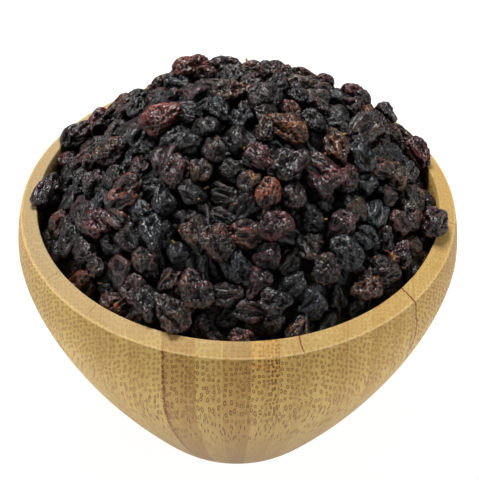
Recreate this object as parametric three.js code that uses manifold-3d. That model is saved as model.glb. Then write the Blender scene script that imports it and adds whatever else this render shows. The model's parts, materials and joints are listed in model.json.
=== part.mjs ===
import * as THREE from 'three';
import { mergeVertices } from 'three/addons/utils/BufferGeometryUtils.js';
import Module from 'manifold-3d';

// A small turned bamboo bowl heaped with zante currants.
// Millimetres and degrees, +Z up, origin at the middle of the bowl's foot.

// Bowl, turned from one block of glued bamboo strips
const BOWL_HEIGHT = 70;
const BELLY_RADIUS = 55;
const MOUTH_RADIUS = 49.6;
const RIM_EDGE_RADIUS = 53.8;
const RIM_LAND_DROP = 1.8;
const BELLY_BELOW_EDGE = 9.2;
const FOOT_RADIUS = 26.2;
const FOOT_BEVEL = [0.56, 0.8];
const SIDE_CURVE = 1.443;
const SIDE_STEPS = 9;
const BULGE_STEPS = 4;
const INSIDE_STEPS = 10;
const FLOOR_THICKNESS = 8;
const BOWL_SEGMENTS = 64;

// Heap, a dome of currants that leans a little to +X
const HEAP_RISE = 32.5;
const HEAP_ROUNDNESS = 2.2;
const HEAP_LEAN = 0.1;
const HEAP_LAYER = 13.5;
const FILL_DEPTH = 12;
const HEAP_GAP = 0.5;
const CORE_DEPTH = 4.1;
const CORE_RIM_DROP = 4.5;
const CORE_SEGMENTS = 20;
const CORE_STEPS = 5;
const CLEARANCE_DEPTH = 14;
const CLEARANCE_SEGMENTS = 32;
const CLEARANCE_STEPS = 3;

// Currants, dried grapes of many sizes
const CURRANT_COUNT = 480;
const CURRANT_LENGTH = [6, 10.5];
const WIDTH_SHARE = [0.68, 0.9];
const THICKNESS_SHARE = [0.66, 0.95];
const SINK_MAX = 1.8;
const TILT_MAX = 34;
const BALL_RADIUS = 0.54;
const FOLD_DEPTH = 0.22;
const VISIBLE_SINK = 1.3;
const HEAP_SEED = 20417;
const FOLD_SEED = 977;

// Settling, by pushing currants apart, up against the dome and back into the layer
const SETTLE_ROUNDS = 70;
const SETTLE_PUSH = 0.36;
const SETTLE_LIFT = 0.06;
const REACH_SHARE = 0.515;
const LANDMARK_REACH_SHARE = 0.43;
const WALL_SHARE = 0.7;

// Landmark currants all have the same build
const LANDMARK_WIDTH_SHARE = 0.78;
const LANDMARK_THICKNESS_SHARE = 0.84;

// Currants that stand out, each at its own place: x, y, length, turn and how far it stands proud
const LANDMARKS = [
  [-46, 0, 10.5, 70, 2.4], [47, -11, 9.5, 60, 3.4], [44, -13, 9, 10, 0.2], [42, 26, 9, -40, 2],
  [40, 20, 9.5, 20, 0], [-12, 28, 9, 20, 1.6], [-19, 0, 10, 30, 0.6], [-3, 5, 8.5, -30, 0.2],
  [-16, -18, 9, 75, 0.1], [-28, -18, 10.5, 15, 0.5], [-35, -21, 9.5, -50, 0.4], [6, 2, 10.5, 65, 0.8],
  [12, -9, 10, -10, 0.5], [35, 9, 8.5, 35, 0.4], [24, -10, 9, -70, 0.2], [12, -19, 10.5, 40, 0.5],
  [20, -19, 10.5, -35, 0.2], [7, -26, 7.5, 85, 0], [30, -10, 8.5, -20, 0.3], [40, -5, 9.5, 50, 0.4],
  [9, -32, 8.5, 10, 0.3], [-5, -35, 9, -60, 0.1], [-10, -42, 9.5, -80, 0.4], [9, -44, 8, 5, 0.2],
  [22, 28, 8.5, 30, 0], [8, 16, 8.5, -45, 0.3], [-43, 22, 9, 55, 1.6], [-33, -1, 9, -15, 0.2],
];

const degrees = Math.PI / 180;

// Same draws on any machine: whole-number steps only
function seededDraws(seed) {
  let state = seed;
  return (low = 0, high = 1) => {
    state = (state * 48271) % 2147483647;
    return low + (high - low) * (state / 2147483647);
  };
}

// Bowl

function bowlSide() {
  const points = [];
  const edgeHeight = BOWL_HEIGHT - RIM_LAND_DROP;
  const bellyHeight = edgeHeight - BELLY_BELOW_EDGE;
  for (let i = SIDE_STEPS; i >= 1; i--) {
    const down = i / SIDE_STEPS;
    const reach = (BELLY_RADIUS - FOOT_RADIUS) * (1 - down ** SIDE_CURVE);
    points.push(new THREE.Vector2(FOOT_RADIUS + reach, bellyHeight * (1 - down)));
  }
  points[0].add(new THREE.Vector2(...FOOT_BEVEL));
  const bulge = BELLY_RADIUS - RIM_EDGE_RADIUS;
  for (let i = 0; i <= BULGE_STEPS; i++) {
    const turn = (i / BULGE_STEPS) * 90 * degrees;
    points.push(new THREE.Vector2(
      RIM_EDGE_RADIUS + bulge * Math.cos(turn),
      bellyHeight + BELLY_BELOW_EDGE * Math.sin(turn),
    ));
  }
  return points;
}

// Inside of the bowl as a quarter ellipse; a gap draws it inwards
function insideRadius(height, gap = 0) {
  const depth = BOWL_HEIGHT - FLOOR_THICKNESS - gap;
  const down = Math.min(Math.max((BOWL_HEIGHT - height) / depth, 0), 1);
  return (MOUTH_RADIUS - gap) * Math.sqrt(1 - down * down);
}

function insideCurve(gap, topHeight, steps) {
  const points = [];
  const floor = FLOOR_THICKNESS + gap;
  for (let i = 0; i <= steps; i++) {
    const rise = 1 - Math.cos((i / steps) * 90 * degrees);
    const height = floor + (topHeight - floor) * rise;
    points.push(new THREE.Vector2(insideRadius(height, gap), height));
  }
  points[0].x = 0;
  return points;
}

function lathe(points, segments) {
  const geometry = new THREE.LatheGeometry(points, segments);
  geometry.rotateX(90 * degrees);
  return geometry;
}

function bowlGeometry() {
  const outline = [
    new THREE.Vector2(0, 0),
    new THREE.Vector2(FOOT_RADIUS, 0),
    ...bowlSide(),
    ...insideCurve(0, BOWL_HEIGHT, INSIDE_STEPS).reverse(),
  ];
  return lathe(outline, BOWL_SEGMENTS);
}

// Heap

function domeHeight(x, y) {
  const out = Math.min(Math.hypot(x, y) / MOUTH_RADIUS, 1.12);
  const lean = HEAP_LEAN * x * Math.max(1 - out * out, 0);
  return BOWL_HEIGHT + HEAP_RISE * (1 - out ** HEAP_ROUNDNESS) + lean;
}

// Upright unit normal of the dome
function domeNormal(x, y) {
  const step = 0.1;
  const slopeX = (domeHeight(x + step, y) - domeHeight(x - step, y)) / (2 * step);
  const slopeY = (domeHeight(x, y + step) - domeHeight(x, y - step)) / (2 * step);
  return new THREE.Vector3(-slopeX, -slopeY, 1).normalize();
}

function domeDepth(point, normal) {
  return (domeHeight(point.x, point.y) - point.z) * normal.z;
}

// Sizes and a first place for each currant; the landmarks come first and stay where they are
function drawCurrants() {
  const draw = seededDraws(HEAP_SEED);
  const currants = [];
  for (let i = 0; i < CURRANT_COUNT; i++) {
    const length = CURRANT_LENGTH[0] + (CURRANT_LENGTH[1] - CURRANT_LENGTH[0]) * (draw() + draw()) / 2;
    const width = length * draw(...WIDTH_SHARE);
    const thickness = width * draw(...THICKNESS_SHARE);
    const out = MOUTH_RADIUS * Math.sqrt(draw());
    const around = draw(0, 360) * degrees;
    const depth = draw(0, HEAP_LAYER);
    const sink = draw() * draw() * SINK_MAX;
    const turn = draw(0, 360);
    const tilt = draw(-TILT_MAX, TILT_MAX);
    const x = out * Math.cos(around);
    const y = out * Math.sin(around);
    const place = new THREE.Vector3(x, y, domeHeight(x, y) - depth);
    currants.push({ length, width, thickness, place, sink, turn, tilt, fixed: false });
  }
  LANDMARKS.forEach(([x, y, length, turn, proud], i) => {
    const normal = domeNormal(x, y);
    const width = length * LANDMARK_WIDTH_SHARE;
    const thickness = width * LANDMARK_THICKNESS_SHARE;
    const place = new THREE.Vector3(x, y, domeHeight(x, y)).addScaledVector(normal, proud - thickness / 2);
    Object.assign(currants[i], { length, width, thickness, place, turn, tilt: 0, fixed: true });
  });
  for (const currant of currants) {
    const size = Math.cbrt(currant.length * currant.width * currant.thickness);
    currant.reach = size * (currant.fixed ? LANDMARK_REACH_SHARE : REACH_SHARE);
  }
  return currants;
}

// Back under the dome's surface, above the fill and inside the bowl's wall
function keepInLayer(currant) {
  const { place, reach, sink } = currant;
  const normal = domeNormal(place.x, place.y);
  const depth = domeDepth(place, normal);
  const highest = reach + sink;
  if (depth < highest) place.addScaledVector(normal, depth - highest);
  if (depth > HEAP_LAYER) place.addScaledVector(normal, depth - HEAP_LAYER);
  place.z = Math.max(place.z, BOWL_HEIGHT - FILL_DEPTH);
  const out = Math.hypot(place.x, place.y);
  const limit = insideRadius(Math.min(place.z, BOWL_HEIGHT), HEAP_GAP) - reach * WALL_SHARE;
  if (out > limit) {
    place.x *= limit / out;
    place.y *= limit / out;
  }
}

function settle(currants) {
  for (let round = 0; round < SETTLE_ROUNDS; round++) {
    const moves = currants.map(() => new THREE.Vector3());
    for (let i = 0; i < currants.length; i++) {
      for (let j = i + 1; j < currants.length; j++) {
        const near = currants[i].reach + currants[j].reach;
        const apart = currants[i].place.distanceTo(currants[j].place);
        if (apart >= near) continue;
        const push = new THREE.Vector3().subVectors(currants[i].place, currants[j].place);
        push.multiplyScalar(SETTLE_PUSH * (near - apart) / apart);
        moves[i].add(push);
        moves[j].sub(push);
      }
    }
    currants.forEach((currant, i) => {
      if (currant.fixed) return;
      currant.place.add(moves[i]);
      currant.place.addScaledVector(domeNormal(currant.place.x, currant.place.y), SETTLE_LIFT);
      keepInLayer(currant);
    });
  }
}

// One currant: a ball of 20 faces, folded in at random, drawn out and laid along the dome
function currantGeometry(currant, draw) {
  const ball = new THREE.IcosahedronGeometry(BALL_RADIUS, 0);
  ball.deleteAttribute('normal');
  ball.deleteAttribute('uv');
  const geometry = mergeVertices(ball, 1e-4);
  const corners = geometry.attributes.position;
  for (let i = 0; i < corners.count; i++) {
    const fold = 1 - FOLD_DEPTH * draw(-0.5, 1);
    corners.setXYZ(i, corners.getX(i) * fold, corners.getY(i) * fold, corners.getZ(i) * fold);
  }
  const { place, length, width, thickness, turn, tilt } = currant;
  const normal = domeNormal(place.x, place.y);
  const pose = new THREE.Quaternion().setFromUnitVectors(new THREE.Vector3(0, 0, 1), normal);
  pose.multiply(new THREE.Quaternion().setFromAxisAngle(new THREE.Vector3(0, 0, 1), turn * degrees));
  pose.multiply(new THREE.Quaternion().setFromAxisAngle(new THREE.Vector3(0, 1, 0), tilt * degrees));
  geometry.applyMatrix4(new THREE.Matrix4().compose(place, pose, new THREE.Vector3(length, width, thickness)));
  return geometry;
}

// Smooth middle of the heap, which the outer currants stand out of
function coreGeometry() {
  const dome = [];
  for (let i = 0; i <= CORE_STEPS; i++) {
    const out = MOUTH_RADIUS * (1 - i / CORE_STEPS);
    const normal = domeNormal(0, out);
    const place = new THREE.Vector3(0, out, domeHeight(0, out)).addScaledVector(normal, -CORE_DEPTH);
    dome.push(new THREE.Vector2(Math.max(place.y, 0), place.z));
  }
  dome[CORE_STEPS].x = 0;
  const wall = insideCurve(HEAP_GAP, BOWL_HEIGHT - CORE_RIM_DROP, CORE_STEPS);
  return lathe([...wall, ...dome], CORE_SEGMENTS);
}

// Joining and cutting of closed meshes

const wasm = await Module();
wasm.setup();

function toSolid(geometry) {
  const bare = geometry.clone();
  bare.deleteAttribute('normal');
  bare.deleteAttribute('uv');
  const merged = mergeVertices(bare, 1e-4);
  return new wasm.Manifold(new wasm.Mesh({
    numProp: 3,
    vertProperties: new Float32Array(merged.attributes.position.array),
    triVerts: new Uint32Array(merged.index.array),
  }));
}

function toGeometry(solid) {
  const mesh = solid.getMesh();
  const geometry = new THREE.BufferGeometry();
  geometry.setAttribute('position', new THREE.BufferAttribute(mesh.vertProperties, 3));
  geometry.setIndex(new THREE.BufferAttribute(mesh.triVerts, 1));
  geometry.computeVertexNormals();
  return geometry;
}

// Space round the mouth that the heap stays out of: the bowl's upper wall, grown by the gap
function bowlClearance() {
  const low = BOWL_HEIGHT - CLEARANCE_DEPTH;
  const ring = [];
  for (let i = 0; i <= CLEARANCE_STEPS; i++) {
    const height = low + CLEARANCE_DEPTH * (i / CLEARANCE_STEPS);
    ring.push(new THREE.Vector2(insideRadius(height, HEAP_GAP), height));
  }
  ring.push(new THREE.Vector2(MOUTH_RADIUS - HEAP_GAP, BOWL_HEIGHT + HEAP_GAP));
  ring.push(new THREE.Vector2(RIM_EDGE_RADIUS, BOWL_HEIGHT + HEAP_GAP - RIM_LAND_DROP));
  ring.push(new THREE.Vector2(2 * BELLY_RADIUS, low));
  ring.push(ring[0].clone());
  return lathe(ring.reverse(), CLEARANCE_SEGMENTS);
}

function heapGeometry() {
  const currants = drawCurrants();
  settle(currants);
  const draw = seededDraws(FOLD_SEED);
  let heap = toSolid(coreGeometry());
  for (const currant of currants) {
    const geometry = currantGeometry(currant, draw);
    const normal = domeNormal(currant.place.x, currant.place.y);
    const sunk = domeDepth(currant.place, normal) - currant.reach;
    if (sunk < VISIBLE_SINK) heap = heap.add(toSolid(geometry));
  }
  heap = heap.subtract(toSolid(bowlClearance()));
  const bodies = heap.decompose().sort((a, b) => b.volume() - a.volume());
  return toGeometry(bodies[0]);
}

// The finished object

const bamboo = new THREE.MeshStandardMaterial({ color: 0xc9ab6c, roughness: 0.5, metalness: 0 });
const currantSkin = new THREE.MeshStandardMaterial({ color: 0x1c171b, roughness: 0.45, metalness: 0 });

function namedMesh(name, geometry, material) {
  const mesh = new THREE.Mesh(geometry, material);
  mesh.name = name;
  return mesh;
}

const currantBowl = new THREE.Group();
currantBowl.add(namedMesh('bowl', bowlGeometry(), bamboo));
currantBowl.add(namedMesh('currant_heap', heapGeometry(), currantSkin));

export default currantBowl;
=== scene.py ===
import json
import math
import random
from functools import partial

import bpy
import numpy as np
from bpy.props import FloatProperty, FloatVectorProperty, IntProperty, PointerProperty
from mathutils import Matrix, Vector, noise

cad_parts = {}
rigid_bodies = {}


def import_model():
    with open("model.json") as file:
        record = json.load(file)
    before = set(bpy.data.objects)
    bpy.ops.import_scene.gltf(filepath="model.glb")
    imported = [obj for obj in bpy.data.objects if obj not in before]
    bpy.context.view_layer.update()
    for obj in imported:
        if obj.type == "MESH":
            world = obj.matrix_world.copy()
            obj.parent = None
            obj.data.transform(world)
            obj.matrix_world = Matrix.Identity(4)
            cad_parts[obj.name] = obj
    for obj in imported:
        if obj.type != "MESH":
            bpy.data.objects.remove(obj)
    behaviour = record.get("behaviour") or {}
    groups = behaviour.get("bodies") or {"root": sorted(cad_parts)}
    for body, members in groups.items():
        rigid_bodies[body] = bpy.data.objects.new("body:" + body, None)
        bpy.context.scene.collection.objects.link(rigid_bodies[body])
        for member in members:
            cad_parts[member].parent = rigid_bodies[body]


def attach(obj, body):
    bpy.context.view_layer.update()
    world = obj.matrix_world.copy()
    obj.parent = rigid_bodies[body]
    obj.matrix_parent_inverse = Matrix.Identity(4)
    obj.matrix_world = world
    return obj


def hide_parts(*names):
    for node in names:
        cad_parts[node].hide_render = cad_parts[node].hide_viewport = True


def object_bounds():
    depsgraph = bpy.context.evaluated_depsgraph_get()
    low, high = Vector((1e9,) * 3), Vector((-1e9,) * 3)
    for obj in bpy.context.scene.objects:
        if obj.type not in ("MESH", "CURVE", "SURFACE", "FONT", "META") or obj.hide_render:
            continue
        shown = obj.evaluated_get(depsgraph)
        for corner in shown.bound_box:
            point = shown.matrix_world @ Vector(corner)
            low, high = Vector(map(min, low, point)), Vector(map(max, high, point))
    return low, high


bl_info = {
    "name": "Bowl of Zante Currants",
    "version": (1, 0, 0),
    "blender": (4, 5, 0),
    "location": "3D View > Sidebar > Currants",
    "description": "Turned bamboo bowl heaped with small dried grapes",
    "category": "Object",
}

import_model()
cad_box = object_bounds()

MM = 0.001
IN_MM = (1000, 1000, 1000)

# Bowl, in millimetres, as in the solid model
BOWL_HEIGHT = 70
BELLY_RADIUS = 55
MOUTH_RADIUS = 49.6
RIM_EDGE_RADIUS = 53.8
RIM_LAND_DROP = 1.8
BELLY_BELOW_EDGE = 9.2
FOOT_RADIUS = 26.2
SIDE_CURVE = 1.443
FLOOR_THICKNESS = 8
EDGE_HEIGHT = BOWL_HEIGHT - RIM_LAND_DROP
BELLY_HEIGHT = EDGE_HEIGHT - BELLY_BELOW_EDGE

# Steps of its outline, and the steps outwards and up that round its foot, its edge and its mouth
SIDE_STEPS = 34
BULGE_STEPS = 8
BULGE_END = 0.4
INSIDE_STEPS = 24
FOOT_ROUNDING = [(-0.6, 0), (0, 0.15), (0.5, 0.8)]
EDGE_ROUNDING = [(0.03, -0.18), (-0.06, -0.03), (-0.25, 0.08), (-2, 0.8)]
MOUTH_ROUNDING = [(0.5, -0.2), (0.22, -0.12), (0.02, -0.35)]

# Heap, a dome of currants that leans a little to the right, as in the solid model
HEAP_RISE = 32.5
HEAP_ROUNDNESS = 2.2
HEAP_LEAN = 0.1
HEAP_LAYER = 13.5
FILL_DEPTH = 12
HEAP_GAP = 0.5
DOME_REACH = 1.12
CURRANT_COUNT = 480
CURRANT_LENGTH = (6, 10.5)
WIDTH_SHARE = (0.68, 0.9)
THICKNESS_SHARE = (0.66, 0.95)
SINK_MAX = 1.8
TILT_MAX = 34
VISIBLE_SINK = 1.3
SETTLE_ROUNDS = 70
SETTLE_PUSH = 0.36
SETTLE_LIFT = 0.06
REACH_SHARE = 0.515
LANDMARK_REACH_SHARE = 0.43
WALL_SHARE = 0.7
LANDMARK_WIDTH_SHARE = 0.78
LANDMARK_THICKNESS_SHARE = 0.84

# What the seen currants have beyond the solid ones: swelling, a share of them that lies deeper and by
# how much, the depth where painted shade begins to darken them and over how far, and how strong their
# colour is
FULL_SWELL = 1.06
SWELL = (0.84, 1.12)
SUNK_SHARE = 0.42
EXTRA_SINK = (1.3, 3.4)
DARK_FROM = 0.9
DARK_OVER = 3.4
SKIN_STRENGTH = (0.9, 2.4)
LAYING_SEED = 7
HEAP_TOP = cad_box[1][2] / MM - 0.1

# Currants that stand out: x, y, length, turn, how far it stands proud, skin, build
LANDMARKS = [
    (-48, 0.5, 10.5, 70, 2.4, "black", 3),
    (47, -11, 9.5, 60, 3.4, "plum", 1),
    (44, -13, 9, 10, 0.2, "rusty", 2),
    (42, 26, 9, -40, 2, "brown", 5),
    (40, 20, 9.5, 20, 0, "brown", 4),
    (-13, 28, 11, 20, 2.3, "red_brown", 7),
    (-19.5, 0, 10.5, 15, 0.8, "red", 2),
    (-3, 5, 8.5, -30, 0.2, "brown", 6),
    (-16, -18, 9, 75, 0.1, "plum", 7),
    (-28, -18, 10.5, 15, 0.5, "rusty", 3),
    (-35, -21, 9.5, -50, 0.4, "plum", 0),
    (6, 2, 10.5, 65, 0.8, "black", 1),
    (12, -9, 10, -10, 0.5, "amber", 6),
    (35, 9, 8.5, 35, 0.4, "black", 7),
    (24, -10, 9, -70, 0.2, "amber", 4),
    (12, -19, 10.5, 40, 0.5, "black", 0),
    (20, -19, 10.5, -35, 0.2, "plum", 5),
    (7, -26, 7.5, 85, 0.3, "orange", 2),
    (30, -10, 8.5, -20, 0.3, "blue_black", 8),
    (40, -5, 9.5, 50, 0.4, "brown", 1),
    (9, -32, 8.5, 10, 0.3, "plum", 2),
    (-5, -35, 9, -60, 0.1, "rusty", 4),
    (-10, -42, 10, -70, 0.6, "rusty", 6),
    (9, -44, 8, 5, 0.2, "black", 1),
    (22, 28, 8.5, 30, 0, "plum", 3),
    (8, 16, 8.5, -45, 0.3, "plum", 0),
    (-42, 22.5, 9.5, 45, 2.6, "black", 5),
    (-33, -1, 9, -15, 0.2, "brown", 7),
    (-20.4, -42, 8.5, -75, 1.4, "black", 0),
    (-15, -44.6, 10, -60, 2, "brown", 4),
    (30, 23.5, 9, 20, 1.5, "plum", 0),
    (37, 22, 8, 70, 3, "black", 5),
    (45.5, 16, 8.5, -50, 3.2, "plum", 1),
    (-20.5, 26.5, 8.5, 30, 0, "brown", 6),
    (-4, 28, 9, 10, 0.3, "black", 1),
    (39.8, -24.5, 7.5, 75, 0.6, "plum", 3),
    (35.6, -30.2, 9, 25, 0.6, "black", 0),
    (30.9, -35.6, 8.5, 35, 0.5, "brown", 6),
    (26.3, -32.2, 9.5, -15, 0.6, "blue_black", 2),
    (-37, 26.5, 9, 40, 1.2, "plum", 1),
    (-32, 29.5, 9, 30, 0.8, "brown", 5),
]


def linear(colour):
    """sRGB hex value as linear red, green, blue and 1."""
    channels = [int(colour[i : i + 2], 16) / 255 for i in (1, 3, 5)]
    return (*(c / 12.92 if c <= 0.04045 else ((c + 0.055) / 1.055) ** 2.4 for c in channels), 1.0)


def colour_setting(name, description, colour):
    return FloatVectorProperty(
        name=name, description=description, subtype="COLOR", size=4, default=linear(colour)
    )


# Skins: the colour of most of it, of its thin or faded patches, and its share of the plain currants
SKINS = {
    "black": (linear("#100A0B"), linear("#291513"), 0.27),
    "blue_black": (linear("#0E1014"), linear("#20262E"), 0.16),
    "brown": (linear("#1D0F08"), linear("#4A2915"), 0.25),
    "plum": (linear("#210B0D"), linear("#4C2020"), 0.25),
    "red_brown": (linear("#2E120B"), linear("#5B2719"), 0.05),
    "amber": (linear("#331B0F"), linear("#6C3C1C"), 0.01),
    "red": (linear("#38130F"), linear("#662820"), 0.0),
    "orange": (linear("#3A1A10"), linear("#864324"), 0.0),
    "rusty": (linear("#14100F"), linear("#572B1D"), 0.04),
}


def seeded_draws(seed):
    """Draws that are the same on any machine, because they use whole-number steps only."""
    multiplier = 48271
    modulus = 2147483647
    state = [seed]

    def draw(low=0.0, high=1.0):
        state[0] = (state[0] * multiplier) % modulus
        return low + (high - low) * (state[0] / modulus)

    return draw


def deselect_all():
    for obj in bpy.context.selected_objects:
        obj.select_set(False)


def only_select(obj):
    deselect_all()
    obj.select_set(True)
    bpy.context.view_layer.objects.active = obj


def apply_modifier(obj, kind, **settings):
    only_select(obj)
    modifier = obj.modifiers.new(kind.lower(), kind)
    for key, value in settings.items():
        setattr(modifier, key, value)
    bpy.ops.object.modifier_apply(modifier=modifier.name)


def own_copy(model):
    """A copy of the model with a mesh of its own."""
    piece = model.copy()
    piece.data = model.data.copy()
    bpy.context.scene.collection.objects.link(piece)
    return piece


def join_pieces(pieces, name):
    deselect_all()
    for piece in pieces:
        piece.select_set(True)
    bpy.context.view_layer.objects.active = pieces[0]
    bpy.ops.object.join()
    joined = bpy.context.object
    joined.name = name
    return joined


def add_node(tree, kind, inputs=(), out=0, stops=(), **settings):
    """Adds a node with its settings, values and links, and returns one of its outputs.

    The inputs stand in the node's order or go by name, and the stops are those of a colour ramp.
    """
    node = tree.nodes.new("ShaderNode" + kind)
    for name, setting in settings.items():
        setattr(node, name, setting)
    named = inputs if isinstance(inputs, dict) else dict(enumerate(inputs))
    for name, value in named.items():
        if isinstance(value, bpy.types.NodeSocket):
            tree.links.new(value, node.inputs[name])
        else:
            node.inputs[name].default_value = value
    if stops:
        steps = node.color_ramp.elements
        while len(steps) < len(stops):
            steps.new(0.5)
        for step, (place, colour) in zip(steps, stops):
            step.position = place
            step.color = colour
    return node.outputs[out]


def masked(tree, mask, ramps):
    """The mask times each ramp: a value, where the ramp starts and ends, and its heights there."""
    for ramp in ramps:
        mask = add_node(tree, "Math", (mask, add_node(tree, "MapRange", ramp)), operation="MULTIPLY")
    return mask


def layered(tree, base, layers):
    """The base colour under layers, each with the share that it covers and its colour.

    Sockets 0, 6 and 7 are the share and the two colours of a colour mix, and output 2 is its result.
    """
    for share, colour in layers:
        base = add_node(tree, "Mix", {0: share, 6: base, 7: colour}, out=2, data_type="RGBA")
    return base


def new_material(name):
    material = bpy.data.materials.new(name)
    material.use_nodes = True
    return material, material.node_tree, material.node_tree.nodes["Principled BSDF"]


# Bowl


def bowl_side_radius(height):
    """Outer radius of the bowl at a height."""
    if height >= BELLY_HEIGHT:
        rise = min((height - BELLY_HEIGHT) / BELLY_BELOW_EDGE, 1)
        return BELLY_RADIUS - (BELLY_RADIUS - RIM_EDGE_RADIUS) * rise * rise
    down = 1 - height / BELLY_HEIGHT
    return FOOT_RADIUS + (BELLY_RADIUS - FOOT_RADIUS) * (1 - down**SIDE_CURVE)


def inside_radius(height, gap=0.0):
    """Inner radius of the bowl at a height, less a gap."""
    depth = BOWL_HEIGHT - FLOOR_THICKNESS - gap
    down = min(max((BOWL_HEIGHT - height) / depth, 0), 1)
    return (MOUTH_RADIUS - gap) * math.sqrt(1 - down * down)


def bowl_outline():
    """Half outline of the bowl from the middle of its foot round to the middle of its inside."""
    points = [(0, 0), (FOOT_RADIUS / 2, 0)]
    points += [(FOOT_RADIUS + out, up) for out, up in FOOT_ROUNDING]
    start = FOOT_ROUNDING[-1][1]
    heights = [start + (BELLY_HEIGHT - start) * i / SIDE_STEPS for i in range(1, SIDE_STEPS + 1)]
    bulge = BELLY_BELOW_EDGE - BULGE_END
    heights += [BELLY_HEIGHT + bulge * i / BULGE_STEPS for i in range(1, BULGE_STEPS + 1)]
    points += [(bowl_side_radius(height), height) for height in heights]
    points += [(RIM_EDGE_RADIUS + out, EDGE_HEIGHT + up) for out, up in EDGE_ROUNDING]
    points += [(MOUTH_RADIUS + out, BOWL_HEIGHT + up) for out, up in MOUTH_ROUNDING]
    for i in range(1, INSIDE_STEPS):
        turn = math.radians(90 * i / INSIDE_STEPS)
        height = BOWL_HEIGHT - (BOWL_HEIGHT - FLOOR_THICKNESS) * math.sin(turn)
        points.append((inside_radius(height), height))
    return points + [(0, FLOOR_THICKNESS)]


class CURRANTS_PG_bowl(bpy.types.PropertyGroup):
    turning_steps: IntProperty(
        name="Turning Steps", description="Flats round the turned bowl", default=288, min=64, max=512
    )
    pale: colour_setting("Pale Bamboo", "Inner wood of the culm", "#CBAE64")
    tan: colour_setting("Tan Bamboo", "Darker steamed strips", "#AE8A48")
    fibre: colour_setting("Fibre Bundles", "Dark rings at the front of the bowl", "#5E2D08")
    side_fibre: colour_setting("Side Bundles", "Warmer rings at the sides of the bowl", "#863A06")
    gold: colour_setting("Golden Strip", "Tint of the golden strip", "#D09A48")
    land_grey: colour_setting("Land Grey", "Greyer wood on top of the rim", "#9F9478")
    glue: colour_setting("Glue Lines", "Lines between the strips", "#8F6A3A")
    stain: colour_setting("Splits", "Splits and the dark seam", "#762F14")
    rust: colour_setting("Stains", "Rust-brown stains", "#B9782E")
    # Painted highlight: a pale line painted round the rim's outer edge, where its rounding catches the
    # light
    edge_highlight: colour_setting("Edge Highlight", "Pale line round the rim", "#E6CC98")


# Glued strips: left edge, tone from 0 pale to 1 tan, how gold it is, whether its dense outer wood
# is on the right, and how closely its fibre bundles stand
STRIPS = [
    (-56, 0.25, 0.2, 0, 1.4), (-42, 0.15, 0.3, 1, 1.3), (-31, 0.2, 0.2, 0, 1.2),
    (-24.5, 0.25, 0.2, 0, 1.15), (-16.7, 0.9, 0.3, 1, 1.12), (-9.5, 0.4, 0.1, 1, 1.0),
    (-3.15, 0.95, 0.0, 1, 1.05), (3.24, 0.5, 1.0, 1, 1.15), (9.66, 0.45, 0.2, 1, 1.05),
    (14.7, 0.3, 0.1, 0, 1.15), (20, 0.35, 0.3, 1, 1.2), (25.4, 0.2, 0.2, 0, 1.25),
    (31, 0.3, 0.4, 0, 1.3), (36.7, 0.2, 0.2, 0, 1.35), (41, 0.35, 0.3, 1, 1.4),
]
STRIPS_END = 56
FIBRE_SLOPE = 51

# Below the first height the strips lean to the middle, below the second the rings are drawn out
LEAN_HEIGHT = 45
LEAN_SHARE = 0.2
LEAN_BLEND = 5.0
DRAWN_HEIGHT = 54
DRAWN_SHARE = 0.75
DRAWN_BLEND = 3.0

# Heights between which the sloping land begins
LAND = (68.0, 68.6)

# Rings of the fibre bundles in the loose and in the dense wood: spacing, and the height of the ring
# at places from a bundle's middle outwards
LOOSE_RINGS = (1.3, [(0, 0.0), (0.13, 0.2), (0.18, 1.0), (0.26, 1.0), (0.32, 0.0)])
DENSE_RINGS = (1.0, [(0, 0.4), (0.12, 0.6), (0.2, 1.0), (0.3, 0.9), (0.4, 0.0)])
RING_DRIFT = (1.6, 1.6, 0.0)
STRIP_SHIFT = 371.0

# Dashes low on the side, the dark seam between two strips, and half the width of a thin line, where
# it begins to fade and where it ends
DASH_SPACING = 0.75
DASH_LENGTH = 6.5
SEAM_X = -16.6
SEAM_WIDTH = (0.2, 0.55)
LINE_WIDTH = (0.08, 0.26)

# Splits: angle round the bowl, where they start and end outwards, lowest height, strength
SPLITS = [
    (-73.5, 49.4, 53.4, 67.5, 0.9), (-39.6, 49.4, 55.4, 52, 1.0), (-7.6, 49.8, 54.2, 67.5, 0.55),
    (-130.5, 50.4, 52.6, 67.5, 0.35), (-147, 49.8, 54, 67.5, 0.3),
]

# Rust-brown stains: place on the surface and radius in millimetres
STAINS = [
    (4.4, -54.2, 66.5, 0.5), (5.6, -54.2, 65.9, 0.5), (6.8, -54.1, 65.6, 0.5), (8, -54, 65.9, 0.45),
    (9.3, -53.8, 65.7, 0.5), (10.6, -53.6, 66.2, 0.7), (-9, -53.1, 68.2, 0.6), (-2.1, -53.7, 68.2, 0.7),
    (-29.3, -45.6, 67.6, 0.7), (25.3, -48.2, 66.8, 0.6), (44, -33, 66, 0.8),
]


def bundle_rings(tree, plane, spacing, profile):
    """Fibre bundles in the plane across the fibres, as rings of a height from 0 to 1."""
    cells = {"Vector": plane, "Scale": 1 / spacing, "Randomness": 0.5}
    away = add_node(tree, "TexVoronoi", cells, voronoi_dimensions="2D")
    stops = [(distance, (height, height, height, 1)) for distance, height in profile]
    return add_node(tree, "ValToRGB", (away,), stops=stops)


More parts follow.
